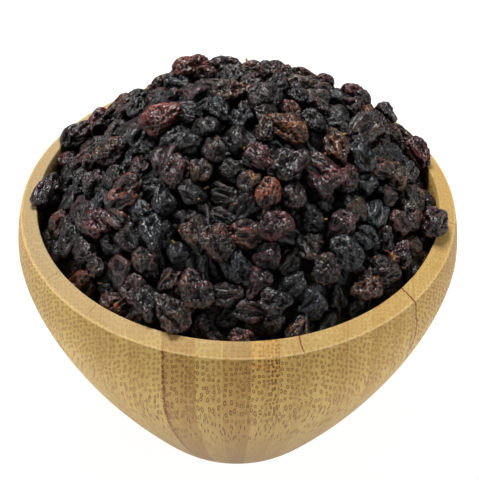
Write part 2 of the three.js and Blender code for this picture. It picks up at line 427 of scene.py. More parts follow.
def split_lines(tree, place, mm):
    """Splits that run ragged from the mouth outwards."""
    add = partial(add_node, tree)
    ragged = add("TexNoise", {"Vector": mm, "Scale": 0.5, "Detail": 2.0})
    ragged = add("Math", (ragged, 1.2, -0.6), operation="MULTIPLY_ADD")
    split = 0.0
    for angle, start, end, lowest, strong in SPLITS:
        along = add("Mapping", {"Vector": place, "Scale": IN_MM, "Rotation": (0, 0, math.radians(-angle))})
        out, aside, up = add("SeparateXYZ", (along,)).node.outputs
        aside = add("Math", (add("Math", (aside, ragged), operation="ADD"),), operation="ABSOLUTE")
        line = masked(tree, add("MapRange", (aside, *LINE_WIDTH, strong, 0.0)), [
            (out, start - 0.3, start, 0.0, 1.0),
            (out, end, end + 0.4, 1.0, 0.0),
            (up, lowest - 1, lowest, 0.0, 1.0),
        ])
        split = add("Math", (split, line), operation="MAXIMUM")
    return split


def bamboo_material(looks):
    # Laminated bamboo, turned on a lathe and oiled: glued strips, with the fibre bundles cut across
    # as small rings and drawn out to streaks low on the side, under a satin finish
    material, tree, shader = new_material("laminated_bamboo_turned_and_oiled")
    add = partial(add_node, tree)
    place = add("TexCoord", out="Object")
    mm = add("Mapping", {"Vector": place, "Scale": IN_MM})
    x, y, z = add("SeparateXYZ", (mm,)).node.outputs

    # Low on the side the strips lean to the middle, in step with the bowl's own narrowing
    slow = add("Math", (z, LEAN_SHARE, LEAN_HEIGHT * (1 - LEAN_SHARE)), operation="MULTIPLY_ADD")
    raised = add("Math", (z, slow, LEAN_BLEND), operation="SMOOTH_MAX")
    radii = []
    for level in (raised, z):
        down = add("MapRange", (level, 0, BELLY_HEIGHT, 1, 0))
        curve = add("Math", (down, SIDE_CURVE), operation="POWER")
        radius = add("Math", (curve, FOOT_RADIUS - BELLY_RADIUS, BELLY_RADIUS), operation="MULTIPLY_ADD")
        radii.append(radius)
    widen = add("Math", radii, operation="DIVIDE")
    grain_x = add("Math", (x, widen), operation="MULTIPLY")
    grain_y = add("Math", (y, widen), operation="MULTIPLY")
    drawn = add("Math", (z, DRAWN_SHARE, DRAWN_HEIGHT * (1 - DRAWN_SHARE)), operation="MULTIPLY_ADD")
    drawn = add("Math", (z, drawn, DRAWN_BLEND), operation="SMOOTH_MAX")
    grain = add("CombineXYZ", (grain_x, grain_y, drawn))

    # Which strip: its tone, its gold and its dense side; and the place across it from 0 to 1
    across = add("MapRange", (grain_x, -STRIPS_END, STRIPS_END, 0, 1))
    kinds = []
    for left, tone, gold, side, closeness in STRIPS:
        kinds.append(((left + STRIPS_END) / (2 * STRIPS_END), (tone, gold, side, closeness / 2)))
    which = add("ValToRGB", (across,), stops=kinds)
    which.node.color_ramp.interpolation = "CONSTANT"
    tone, gold, side = add("SeparateColor", (which,)).node.outputs
    closeness = add("Math", (which.node.outputs["Alpha"], 2.0), operation="MULTIPLY")
    gold_here = masked(tree, gold, [(z, 56, 67, 0, 1)])
    edges = [strip[0] for strip in STRIPS] + [STRIPS_END]
    saw = []
    for left, right in zip(edges, edges[1:]):
        saw.append(((left + 0.01 + STRIPS_END) / (2 * STRIPS_END), (0, 0, 0, 1)))
        saw.append(((right - 0.01 + STRIPS_END) / (2 * STRIPS_END), (1, 1, 1, 1)))
    walk = add("ValToRGB", (across,), stops=saw)
    walk_back = add("Math", (1.0, walk), operation="SUBTRACT")
    to_dense = add("Mix", {0: side, 2: walk_back, 3: walk})

    # Plane across the fibres, which run away from the front and down
    turned = add("Mapping", {"Vector": grain, "Rotation": (math.radians(FIBRE_SLOPE - 90), 0, 0)})
    wander = add("TexNoise", {"Vector": mm, "Scale": 0.12, "Detail": 1.0}, out="Color")
    drift = add("VectorMath", (wander, (0.5, 0.5, 0.5)), operation="SUBTRACT")
    drift = add("VectorMath", (drift, RING_DRIFT), operation="MULTIPLY")
    strip_number = add("Math", (tone, gold), operation="ADD")
    shift = add("CombineXYZ", (0.0, add("Math", (strip_number, STRIP_SHIFT), operation="MULTIPLY"), 0.0))
    plane = add("VectorMath", (turned, drift), operation="ADD")
    plane = add("VectorMath", (plane, shift), operation="ADD")
    plane = add("VectorMath", {"Vector": plane, "Scale": closeness}, operation="SCALE")

    # Wide rings in the loose wood, small dark ones in the dense wood
    loose = bundle_rings(tree, plane, *LOOSE_RINGS)
    dense = bundle_rings(tree, plane, *DENSE_RINGS)
    density = add("MapRange", (to_dense, 0.3, 0.8, 0, 1), interpolation_type="SMOOTHSTEP")
    density = masked(tree, density, [(gold, 0.3, 1.0, 0.4, 1.0)])
    patches = add("TexNoise", {"Vector": mm, "Scale": 0.09, "Detail": 1.0})
    rings = masked(tree, add("Mix", {0: density, 2: loose, 3: dense}), [
        (patches, 0.3, 0.6, 0.75, 1.0),
        (tone, 0.1, 0.7, 0.85, 0.95),
        (z, *LAND, 1.0, 0.42),
        (z, 38, 48, 0.0, 1.0),
    ])
    golden = add("MapRange", (gold_here, 0.4, 1.0, 0.0, 1.0))
    golden = add("Math", (golden, 0.4, 1.0), operation="MULTIPLY_ADD")
    rings = add("Math", (rings, golden), operation="MULTIPLY", use_clamp=True)

    # Low on the front and the back the bundles are cut along and show as short upright dashes
    dash_x = add("Math", (grain_x, 1 / DASH_SPACING), operation="MULTIPLY")
    dash_z = add("Math", (z, 1 / DASH_LENGTH), operation="MULTIPLY")
    dash_place = add("CombineXYZ", (dash_x, dash_z, 0.0))
    bundle = add("TexVoronoi", {"Vector": dash_place, "Scale": 1.0}, voronoi_dimensions="2D")
    dashes = masked(tree, add("MapRange", (bundle, 0.1, 0.3, 0.9, 0.0)), [
        (z, 43, 52, 1.0, 0.0),
        (z, 20, 38, 0.12, 1.0),
        (add("Math", (x,), operation="ABSOLUTE"), 24, 36, 1.0, 0.0),
    ])
    marks = add("Math", (rings, dashes), operation="MAXIMUM")
    from_front = add("MapRange", (add("Math", (grain_x,), operation="ABSOLUTE"), 14, 30, 0.0, 1.0))
    mark_colour = layered(tree, looks.fibre, [(from_front, looks.side_fibre)])

    # Fine vessels between the bundles, long in the run of the fibres
    vessels = add("Mapping", {"Vector": turned, "Scale": (4.2, 4.2, 0.22)})
    fine = add("TexNoise", {"Vector": vessels, "Scale": 1.0, "Detail": 2.0, "Roughness": 0.6})
    speckle = masked(tree, add("MapRange", (fine, 0.35, 0.75, 0.0, 0.26)), [(z, *LAND, 1.0, 1.6)])
    broad_place = add("Mapping", {"Vector": turned, "Scale": (0.5, 0.25, 0.05)})
    broad = add("TexNoise", {"Vector": broad_place, "Scale": 1.0, "Detail": 2.0})
    uneven = add("Math", (broad, 0.5), operation="SUBTRACT")
    wood_tone = add("Math", (uneven, 0.8, tone), operation="MULTIPLY_ADD")
    dense_tone = add("Math", (to_dense, 0.5), operation="SUBTRACT")
    wood_tone = add("Math", (dense_tone, 0.25, wood_tone), operation="MULTIPLY_ADD", use_clamp=True)

    # Thin lines and spots: the painted highlight on the rim's edge, the dark seam, the glue, the stains and
    # the splits
    from_edge = add("Math", (z, EDGE_HEIGHT - 0.03), operation="SUBTRACT")
    from_edge = add("Math", (from_edge,), operation="ABSOLUTE")
    from_seam = add("Math", (grain_x, SEAM_X), operation="SUBTRACT")
    from_seam = add("Math", (from_seam,), operation="ABSOLUTE")
    seam_noise = add("TexNoise", {"Vector": mm, "Scale": 1.8, "Detail": 1.0})
    seam = masked(tree, add("MapRange", (from_seam, *SEAM_WIDTH, 1.0, 0.0)), [
        (seam_noise, 0.4, 0.52, 0.15, 1.0),
        (y, -20, 0, 1.0, 0.0),
        (z, *LAND, 1.0, 0.35),
    ])
    nearest = add("Math", (walk, walk_back), operation="MINIMUM")
    stain = 0.0
    for *middle, radius in STAINS:
        away = add("VectorMath", (mm, middle), out="Value", operation="DISTANCE")
        spot = add("MapRange", (away, 0.3 * radius, radius, 0.7, 0.0), interpolation_type="SMOOTHSTEP")
        stain = add("Math", (stain, spot), operation="MAXIMUM")
    split = split_lines(tree, place, mm)

    # The top of the rim is painted greyer and darker, more so towards the left
    greyer_land = masked(tree, add("MapRange", (z, *LAND, 0.0, 1.0)), [(x, -46, -12, 0.75, 0.22)])
    wood = layered(tree, looks.pale, [
        (wood_tone, looks.tan),
        (greyer_land, looks.land_grey),
        # Painted shade: the wood is darkened towards the bottom of the side
        (add("MapRange", (z, 6, 46, 0.45, 0.0)), looks.fibre),
        (add("Math", (gold_here, 0.4), operation="MULTIPLY"), looks.gold),
        (speckle, looks.fibre),
        (marks, mark_colour),
        (add("MapRange", (nearest, 0.012, 0.045, 0.4, 0.0)), looks.glue),
        (seam, looks.stain),
        # Painted highlight along the rim's outer edge
        (add("MapRange", (from_edge, *LINE_WIDTH, 0.3, 0.0)), looks.edge_highlight),
        (stain, looks.rust),
        (split, looks.stain),
    ])
    tree.links.new(wood, shader.inputs["Base Color"])

    relief = add("Math", (fine, 0.5), operation="MULTIPLY")
    relief = add("Math", (marks, -0.5, relief), operation="MULTIPLY_ADD")
    relief = add("Math", (split, -4.0, relief), operation="MULTIPLY_ADD")
    bump = add("Bump", {"Height": relief, "Strength": 0.25, "Distance": 0.0001})
    tree.links.new(bump, shader.inputs["Normal"])
    tree.links.new(add("MapRange", (fine, 0.3, 0.7, 0.45, 0.6)), shader.inputs["Roughness"])
    shader.inputs["Specular IOR Level"].default_value = 0.22
    return material


def bowl_mesh(steps):
    """Half outline laid along a ring of points, then spun round the upright axis."""
    outline = bowl_outline()
    deselect_all()
    bpy.ops.mesh.primitive_circle_add(vertices=len(outline), radius=1, fill_type="NOTHING")
    bowl = bpy.context.object
    for vertex, (out, height) in zip(bowl.data.vertices, outline):
        vertex.co = (out * MM, 0, height * MM)
    bpy.ops.object.mode_set(mode="EDIT")
    bpy.ops.mesh.select_all(action="DESELECT")
    bpy.ops.object.mode_set(mode="OBJECT")
    last = len(outline) - 1
    for edge in bowl.data.edges:
        edge.select = set(edge.vertices) == {0, last}
    bpy.ops.object.mode_set(mode="EDIT")
    bpy.ops.mesh.select_mode(type="EDGE")
    bpy.ops.mesh.delete(type="EDGE")
    bpy.ops.mesh.select_all(action="SELECT")
    bpy.ops.mesh.spin(steps=steps, angle=math.tau, center=(0, 0, 0), axis=(0, 0, 1))
    bpy.ops.mesh.select_all(action="SELECT")
    bpy.ops.mesh.remove_doubles(threshold=0.00001)
    bpy.ops.mesh.normals_make_consistent(inside=False)
    bpy.ops.object.mode_set(mode="OBJECT")
    return bowl


class CURRANTS_OT_bowl(bpy.types.Operator):
    """Turn the bamboo bowl"""

    bl_idname = "currants.bowl"
    bl_label = "Bamboo Bowl"

    def execute(self, context):
        looks = context.scene.currants_bowl
        bowl = bowl_mesh(looks.turning_steps)
        bowl.name = "bamboo_bowl"
        bpy.ops.object.shade_smooth_by_angle(angle=math.radians(40))
        bowl.data.materials.append(bamboo_material(looks))
        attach(bowl, "root")
        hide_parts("bowl")
        return {"FINISHED"}


# Heap


def dome_height(x, y):
    """Height of the heap's dome, which goes on a little past the mouth."""
    out = min(math.hypot(x, y) / MOUTH_RADIUS, DOME_REACH)
    lean = HEAP_LEAN * x * max(1 - out * out, 0)
    return BOWL_HEIGHT + HEAP_RISE * (1 - out**HEAP_ROUNDNESS) + lean


def dome_normal(x, y):
    step = 0.1
    slope_x = (dome_height(x + step, y) - dome_height(x - step, y)) / (2 * step)
    slope_y = (dome_height(x, y + step) - dome_height(x, y - step)) / (2 * step)
    return Vector((-slope_x, -slope_y, 1)).normalized()


def dome_depth(point, normal):
    """How deep a point lies under the dome, square to it."""
    return (dome_height(point.x, point.y) - point.z) * normal.z


def draw_currants(seed):
    """Size and first place of each currant; the landmarks come first and stay where they are."""
    draw = seeded_draws(seed)
    currants = []
    for _ in range(CURRANT_COUNT):
        spread = CURRANT_LENGTH[1] - CURRANT_LENGTH[0]
        length = CURRANT_LENGTH[0] + spread * (draw() + draw()) / 2
        width = length * draw(*WIDTH_SHARE)
        thickness = width * draw(*THICKNESS_SHARE)
        out = MOUTH_RADIUS * math.sqrt(draw())
        around = math.radians(draw(0, 360))
        depth = draw(0, HEAP_LAYER)
        sink = draw() * draw() * SINK_MAX
        turn = draw(0, 360)
        tilt = draw(-TILT_MAX, TILT_MAX)
        x = out * math.cos(around)
        y = out * math.sin(around)
        currants.append({
            "size": (length, width, thickness), "place": Vector((x, y, dome_height(x, y) - depth)),
            "sink": sink, "turn": turn, "tilt": tilt, "fixed": False,
        })
    for currant, (x, y, length, turn, proud, skin, build) in zip(currants, LANDMARKS):
        normal = dome_normal(x, y)
        width = length * LANDMARK_WIDTH_SHARE
        thickness = width * LANDMARK_THICKNESS_SHARE
        place = Vector((x, y, dome_height(x, y))) + normal * (proud - thickness / 2)
        size = (length, width, thickness)
        currant.update(size=size, place=place, turn=turn, tilt=0, fixed=True, skin=skin, build=build)
    for currant in currants:
        size = math.prod(currant["size"]) ** (1 / 3)
        currant["reach"] = size * (LANDMARK_REACH_SHARE if currant["fixed"] else REACH_SHARE)
    return currants


def keep_in_layer(place, reach, sink):
    """Back under the dome's surface, above the fill and inside the bowl's wall."""
    normal = dome_normal(place.x, place.y)
    depth = dome_depth(place, normal)
    highest = reach + sink
    if depth < highest:
        place = place + normal * (depth - highest)
    if depth > HEAP_LAYER:
        place = place + normal * (depth - HEAP_LAYER)
    place.z = max(place.z, BOWL_HEIGHT - FILL_DEPTH)
    out = math.hypot(place.x, place.y)
    limit = inside_radius(min(place.z, BOWL_HEIGHT), HEAP_GAP) - reach * WALL_SHARE
    if out > limit:
        place.x *= limit / out
        place.y *= limit / out
    return place


def settle(currants):
    """Push the currants apart, up against the dome and back into the layer."""
    places = np.array([currant["place"] for currant in currants], float)
    reach = np.array([currant["reach"] for currant in currants])
    near = reach[:, None] + reach[None, :]
    far_away = 1e9
    for _ in range(SETTLE_ROUNDS):
        gap = places[:, None, :] - places[None, :, :]
        apart = np.linalg.norm(gap, axis=2)
        np.fill_diagonal(apart, far_away)
        push = np.where(apart < near, SETTLE_PUSH * (near - apart) / apart, 0)
        moves = (gap * push[:, :, None]).sum(axis=1)
        for i, currant in enumerate(currants):
            if currant["fixed"]:
                continue
            place = Vector(places[i] + moves[i])
            place = place + dome_normal(place.x, place.y) * SETTLE_LIFT
            places[i] = keep_in_layer(place, currant["reach"], currant["sink"])
    for place, currant in zip(places, currants):
        currant["place"] = Vector(place)


# Shrivelling of one currant's skin: how rough the skin starts, the share of the rounds in which it
# grows, how hard and how fast its springs pull, and how much less the flesh holds it sideways
SKIN_ROUGHNESS = 0.02
GROWING_SHARE = 0.7
SPRING_PULL = 0.5
SPRING_HASTE = 1.6
SIDEWAYS_HOLD = 0.15


def gather(index, values, count):
    """The sum of the rows of values for each place that the index names."""
    return np.stack([np.bincount(index, values[:, k], count) for k in range(3)], axis=1)


def mesh_corners(mesh):
    """Places of the mesh's corners, and the pairs of corners that its edges join."""
    corners = np.zeros(len(mesh.vertices) * 3)
    mesh.vertices.foreach_get("co", corners)
    edges = np.zeros(len(mesh.edges) * 2, np.int64)
    mesh.edges.foreach_get("vertices", edges)
    return corners.reshape(-1, 3), edges.reshape(-1, 2)


def read_mesh(mesh):
    corners, edges = mesh_corners(mesh)
    faces = np.zeros(len(mesh.polygons) * 3, np.int64)
    mesh.polygons.foreach_get("vertices", faces)
    return corners, edges, faces.reshape(-1, 3)


def bending_pairs(faces):
    """The two far corners of each pair of faces that share an edge."""
    far = {}
    pairs = []
    for a, b, c in faces.tolist():
        for start, end, other in ((a, b, c), (b, c, a), (c, a, b)):
            key = (min(start, end), max(start, end))
            if key in far:
                pairs.append((far.pop(key), other))
            else:
                far[key] = other
    return np.array(pairs)


def surface_normals(corners, faces):
    first, second, third = (corners[faces[:, k]] for k in range(3))
    sides = np.cross(second - first, third - first)
    total = sum(gather(faces[:, k], sides, len(corners)) for k in range(3))
    return total / np.linalg.norm(total, axis=1)[:, None]


def shrivel(mesh, stiffness, hold, rounds, growth, lengthwise, seed):
    """Lets the skin buckle over flesh that has shrunk under it.

    growth is how much longer the skin is round the currant than the flesh, lengthwise the share of
    that along it, stiffness how much it resists bending and hold how much the flesh keeps it.
    """
    corners, edges, faces = read_mesh(mesh)
    pairs = bending_pairs(faces)
    count = len(corners)
    flesh = corners.copy()
    outward = surface_normals(corners, faces)
    springs = []
    for ends, strength in ((edges, 1.0), (pairs, stiffness)):
        span = corners[ends[:, 0]] - corners[ends[:, 1]]
        rest = np.linalg.norm(span, axis=1)
        along = (span[:, 0] / rest) ** 2
        extra = growth * (1 - (1 - lengthwise) * along)
        share = np.bincount(ends.ravel(), minlength=count)[:, None]
        springs.append((ends, strength, rest, extra, share))
    rough = np.random.default_rng(seed).normal(0, SKIN_ROUGHNESS, count) * springs[0][2].mean()
    corners = corners + outward * rough[:, None]
    for step in range(rounds):
        grown = min(1, (step + 1) / (rounds * GROWING_SHARE))
        for ends, strength, rest, extra, share in springs:
            span = corners[ends[:, 0]] - corners[ends[:, 1]]
            length = np.linalg.norm(span, axis=1)
            stretch = strength * SPRING_PULL * (length - rest * (1 + extra * grown)) / length
            pull = span * stretch[:, None]
            move = gather(ends[:, 1], pull, count) - gather(ends[:, 0], pull, count)
            corners = corners + move / share * SPRING_HASTE
        back = flesh - corners
        straight = (back * outward).sum(axis=1)[:, None] * outward
        corners = corners + hold * straight + hold * SIDEWAYS_HOLD * (back - straight)
    mesh.vertices.foreach_set("co", corners.ravel())
    mesh.update()


# Builds of currant: unevenness, share of the growth that runs lengthwise, and the stiffness, hold and
# growth of its broad dents, of its folds and of its small wrinkles
BUILDS = [
    (0.30, 0.35, ((0.9, 0.020, 0.16), (0.75, 0.025, 0.36), (0.30, 0.05, 0.26))),
    (0.36, 0.55, ((0.9, 0.020, 0.28), (0.95, 0.030, 0.28), (0.40, 0.05, 0.24))),
    (0.22, 0.70, ((1.0, 0.020, 0.24), (0.60, 0.045, 0.22), (0.25, 0.07, 0.28))),
    (0.40, 0.45, ((1.0, 0.015, 0.10), (1.00, 0.012, 0.42), (0.60, 0.05, 0.18))),
    (0.30, 0.50, ((0.9, 0.025, 0.30), (0.50, 0.050, 0.24), (0.25, 0.07, 0.28))),
    (0.38, 0.25, ((1.0, 0.020, 0.20), (0.85, 0.025, 0.34), (0.35, 0.06, 0.24))),
    (0.34, 0.80, ((0.8, 0.030, 0.26), (0.40, 0.050, 0.26), (0.25, 0.07, 0.28))),
    (0.20, 0.60, ((0.9, 0.020, 0.18), (0.80, 0.035, 0.26), (0.22, 0.07, 0.30))),
    (0.26, 0.60, ((1.0, 0.015, 0.32), (1.00, 0.025, 0.18), (0.60, 0.06, 0.16))),
]
FOLD_ROUNDS = (60, 90, 50)

# A currant before it shrivels: seed of the first, size, how closely its lumps stand and how much it
# tapers; then the size of a usual dried one and how far a full ridge stands out of it
MODEL_SEED = 1000
MODEL_SIZE = (8.4, 6.6, 5.4)
LUMP_SCALE = 2.2
TAPER = 0.25
USUAL_SIZE = (9, 7, 5.6)
RIDGE_HEIGHT = 0.12


def currant_model(build, number, faces_wanted):
    """One shrivelled currant of length, width and thickness 1, standing for its copies."""
    uneven, lengthwise, folds = BUILDS[build]
    chance = random.Random(MODEL_SEED + number)
    deselect_all()
    bpy.ops.mesh.primitive_ico_sphere_add(subdivisions=3, radius=0.5)
    model = bpy.context.object
    model.name = f"currant_model_{number}"
    mesh = model.data
    mesh.uv_layers[0].name = "OFBake"
    offset = Vector([chance.uniform(-500, 500) for _ in range(3)])
    taper = chance.uniform(-TAPER, TAPER)
    length, width, thickness = MODEL_SIZE
    for vertex in mesh.vertices:
        lump = 1 + uneven * noise.noise(vertex.co * LUMP_SCALE + offset)
        narrow = 1 + taper * vertex.co.x * 2
        spot = vertex.co * lump
        vertex.co = (spot.x * length, spot.y * width * narrow, spot.z * thickness * narrow)
    for stage, (stiffness, hold, growth) in enumerate(folds):
        if stage:
            bpy.ops.object.mode_set(mode="EDIT")
            bpy.ops.mesh.select_all(action="SELECT")
            bpy.ops.mesh.subdivide(number_cuts=1, smoothness=0.6)
            bpy.ops.mesh.quads_convert_to_tris()
            bpy.ops.object.mode_set(mode="OBJECT")
        shrivel(mesh, stiffness, hold, FOLD_ROUNDS[stage], growth, lengthwise, number + 500 * stage)
    corners, _, _ = read_mesh(mesh)
    low = corners.min(axis=0)
    high = corners.max(axis=0)
    mesh.transform(Matrix.Translation(Vector(-(low + high) / 2)))
    mesh.transform(Matrix.Diagonal((*(1 / (high - low)), 1)))
    apply_modifier(model, "DECIMATE", ratio=faces_wanted / len(mesh.polygons))
    return model


def mark_ridges(model, size):
    """Stores how far each point stands out of its neighbours, from 0 in a fold to 1 on a ridge."""
    mesh = model.data
    mesh.transform(Matrix.Diagonal((*size, 1)))
    corners, edges, faces = read_mesh(mesh)
    count = len(corners)
    outward = surface_normals(corners, faces)
    share = np.bincount(edges.ravel(), minlength=count)
    starts, ends = edges.T
    around = gather(starts, corners[ends], count) + gather(ends, corners[starts], count)
    stand = ((corners - around / share[:, None]) * outward).sum(axis=1) / RIDGE_HEIGHT
    beside = np.bincount(starts, stand[ends], count) + np.bincount(ends, stand[starts], count)
    stand = 0.5 * stand + 0.5 * beside / share
    add_attribute(mesh, "ridge", "FLOAT", np.clip(0.5 + 0.5 * stand, 0, 1))
    mesh.transform(Matrix.Diagonal((*(1 / s for s in size), 1)))


class CURRANTS_PG_heap(bpy.types.PropertyGroup):
    seed: IntProperty(
        name="Seed", description="Other numbers lay the heap another way", default=20417, min=1
    )
    outer_faces: IntProperty(
        name="Outer Faces", description="Faces of an outer currant", default=2700, min=200, max=5000
    )
    inner_faces: IntProperty(
        name="Inner Faces", description="Faces of a lower currant", default=900, min=100, max=2400
    )


GRAPE_SUGAR = "#A8814E"


def currant_material():
    # Sun-dried grape skin: near-black and waxy, rough with fine wrinkles, with faded patches where it is
    # thin and grains of grape sugar that catch the light;
    # painted shade darkens it in its folds, in its wrinkles' creases and deeper in the heap, where it is
    # also duller, and a painted highlight lightens its ridges
    material, tree, shader = new_material("dried_grape_skin")
    add = partial(add_node, tree)
    local = add("Attribute", out="Vector", attribute_name="skin_place")
    main = add("Attribute", out="Color", attribute_name="skin_colour")
    faded = add("Attribute", out="Color", attribute_name="faded_colour")
    ridge = add("Attribute", out="Fac", attribute_name="ridge")
    deep = add("Attribute", out="Fac", attribute_name="deep")

    drawn_out = add("Mapping", {"Vector": local, "Scale": (0.9, 1.7, 1.7)})
    wrinkled = {"Vector": drawn_out, "Scale": 1.0, "Detail": 2.5, "Roughness": 0.55, "Distortion": 0.8}
    wrinkles = add("TexNoise", wrinkled, noise_type="RIDGED_MULTIFRACTAL", normalize=True)
    grit = add("TexNoise", {"Vector": local, "Scale": 2.4, "Detail": 2.0, "Roughness": 0.7})
    relief = add("Math", (grit, 0.25, wrinkles), operation="MULTIPLY_ADD")

    patches = add("TexNoise", {"Vector": local, "Scale": 0.28, "Detail": 1.0})
    mottle = add("TexNoise", {"Vector": local, "Scale": 1.9, "Detail": 2.0, "Roughness": 0.7})
    mottle = add("Math", (mottle, 2.0, -1.0), operation="MULTIPLY_ADD")
    thin = add("MapRange", (patches, 0.42, 0.66, 0.0, 1.0))
    thin = add("Math", (thin, mottle), operation="ADD", use_clamp=True)
    skin = layered(tree, main, [(thin, faded)])
    # Painted shade and highlight: colour darkened in the folds, in the wrinkles' creases and with depth in
    # the heap, and lightened on ridges and wrinkle crests
    shade = masked(tree, add("MapRange", (ridge, 0.22, 0.58, 0.08, 1.4)), [
        (wrinkles, 0.15, 0.42, 0.4, 1.7),
        (deep, 0.0, 1.0, 1.0, 0.1),
    ])
    shade = add("CombineColor", (shade, shade, shade))
    skin = add("Mix", {0: 1.0, 6: skin, 7: shade}, out=2, data_type="RGBA", blend_type="MULTIPLY")

    grains = add("TexVoronoi", {"Vector": local, "Scale": 1.1})
    picked = add("SeparateColor", (grains.node.outputs["Color"],))
    clusters = add("TexNoise", {"Vector": local, "Scale": 0.35, "Detail": 1.0})
    grain = masked(tree, add("MapRange", (grains, 0.1, 0.17, 0.85, 0.0)), [
        (picked, 0.5, 0.52, 0.0, 1.0),
        (clusters, 0.43, 0.52, 0.0, 1.0),
        (deep, 0.2, 0.6, 1.0, 0.0),
    ])
    skin = layered(tree, skin, [(grain, linear(GRAPE_SUGAR))])
    tree.links.new(skin, shader.inputs["Base Color"])

    bump = add("Bump", {"Height": relief, "Strength": 0.95, "Distance": 0.00035})
    tree.links.new(bump, shader.inputs["Normal"])
    tree.links.new(add("MapRange", (deep, 0.0, 1.0, 0.31, 0.48)), shader.inputs["Roughness"])
    shader.inputs["Specular IOR Level"].default_value = 0.52
    return material


# Cells of a piece's bake map, columns and rows, one for each currant. The skin of a ball of triangles
# unwraps to a net that is this share as high as it is wide, and fills this share of its cell
OUTER_CELLS = (6, 11)
INNER_CELLS = (8, 17)
NET_HEIGHT = 0.4724
NET_SHARE = 0.94


def into_cell(mesh, number, columns, rows):
    """Moves the unwrapped skin into its own cell of the piece's bake map."""
    layer = mesh.uv_layers["OFBake"]
    spots = np.zeros(len(layer.data) * 2, np.float32)
    layer.data.foreach_get("uv", spots)
    spots = spots.reshape(-1, 2) * (1, 1 / NET_HEIGHT) * NET_SHARE + (1 - NET_SHARE) / 2
    spots = (spots + (number % columns, number // columns)) / (columns, rows)
    layer.data.foreach_set("uv", spots.astype(np.float32).ravel())


def add_attribute(mesh, name, kind, values):
    field = {"FLOAT": "value", "FLOAT_VECTOR": "vector", "FLOAT_COLOR": "color"}[kind]
    attribute = mesh.attributes.new(name, kind, "POINT")
    attribute.data.foreach_set(field, np.asarray(values, np.float32).ravel())


def dress_skin(mesh, spots, skin, strength):
    """Stores the skin's two colours and the spots that its pattern is read at."""
    add_attribute(mesh, "skin_place", "FLOAT_VECTOR", spots)
    for name, colour in zip(("skin_colour", "faded_colour"), SKINS[skin]):
        tint = [channel * strength for channel in colour[:3]] + [1]
        add_attribute(mesh, name, "FLOAT_COLOR", tint * len(spots))


def lay_currant(model, currant, chance):
    """A copy of the model in its place in the heap, with its own mesh, skin and painted depth shade."""
    piece = own_copy(model)
    mesh = piece.data
    normal = dome_normal(currant["place"].x, currant["place"].y)
    corners, _ = mesh_corners(mesh)
    spots = corners * currant["size"] + [chance.uniform(-400, 400) for _ in range(3)]
    shares = [share for _, _, share in SKINS.values()]
    skin = currant.get("skin") or chance.choices(list(SKINS), shares)[0]
    dress_skin(mesh, spots, skin, chance.uniform(*SKIN_STRENGTH))

    pose = Vector((0, 0, 1)).rotation_difference(normal).to_matrix().to_4x4()
    pose = pose @ Matrix.Rotation(math.radians(currant["turn"]), 4, "Z")
    pose = pose @ Matrix.Rotation(math.radians(currant["tilt"]), 4, "Y")
    roll = Matrix.Rotation(chance.choice((0, math.pi)), 4, "X")
    lowered = currant["outside"] and not currant["fixed"] and chance.random() < SUNK_SHARE
    sunk = chance.uniform(*EXTRA_SINK) if lowered else 0
    place = Matrix.Translation(currant["place"] - normal * sunk) @ pose
    swell = chance.uniform(*SWELL) if currant["outside"] and not currant["fixed"] else FULL_SWELL
    mesh.transform(place @ Matrix.Diagonal((*(size * swell for size in currant["size"]), 1)) @ roll)
    corners, _ = mesh_corners(mesh)
    over = corners[:, 2].max() - HEAP_TOP
    if over > 0:
        mesh.transform(Matrix.Translation((0, 0, -over)))
    # Painted shade: the deeper a point lies under the dome, the darker its colour is painted
    depths = np.array([dome_height(*corner[:2]) - corner[2] for corner in corners]) * normal.z
    add_attribute(mesh, "deep", "FLOAT", np.clip((depths - DARK_FROM) / DARK_OVER, 0, 1))
    mesh.transform(Matrix.Scale(MM, 4))
    return piece


# Lower mass: depth under the dome, gap to the bowl, and spacing, height and steepness of its lumps
LOWER_DEPTH = 13
LOWER_GAP = HEAP_GAP + 0.1
LUMP_SPACING = 7
LUMP_HEIGHT = 3.5
LUMP_STEEPNESS = 1.6


class CURRANTS_OT_lower(bpy.types.Operator):
    """Fill the bowl below the seen currants with one lumpy mass of them"""

    bl_idname = "currants.lower"
    bl_label = "Lower Currants"

    def execute(self, context):
        deselect_all()
        bpy.ops.mesh.primitive_uv_sphere_add(segments=96, ring_count=64, radius=1)
        mass = context.object
        mass.name = "currants_lower"
        mesh = mass.data
        mesh.uv_layers[0].name = "OFBake"
        edge_height = BOWL_HEIGHT - LOWER_DEPTH
        edge_radius = inside_radius(edge_height, LOWER_GAP)
        for vertex in mesh.vertices:
            x, y, rise = vertex.co
            if rise > 0:
                out = edge_radius
                height = dome_height(x * out, y * out) - LOWER_DEPTH
                near, _ = noise.voronoi(Vector((x * out, y * out, height)) / LUMP_SPACING)
                height += LUMP_HEIGHT * max(1 - (LUMP_STEEPNESS * near[0]) ** 2, 0) * min(rise * 3, 1)
            else:
                height = edge_height + rise * (edge_height - FLOOR_THICKNESS - LOWER_GAP)
                out = inside_radius(height, LOWER_GAP) / max(math.hypot(x, y), 0.001)
            vertex.co = (x * out, y * out, height)
        corners, _ = mesh_corners(mesh)
        dress_skin(mesh, corners, "black", 1)
        add_attribute(mesh, "ridge", "FLOAT", [0.5] * len(corners))
        # Painted shade: the whole lower mass is painted with the darkest depth shade
        add_attribute(mesh, "deep", "FLOAT", [1.0] * len(corners))
        mesh.transform(Matrix.Scale(MM, 4))
        bpy.ops.object.shade_smooth()
        mesh.materials.append(currant_material())
        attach(mass, "root")
        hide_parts("currant_heap")
        return {"FINISHED"}


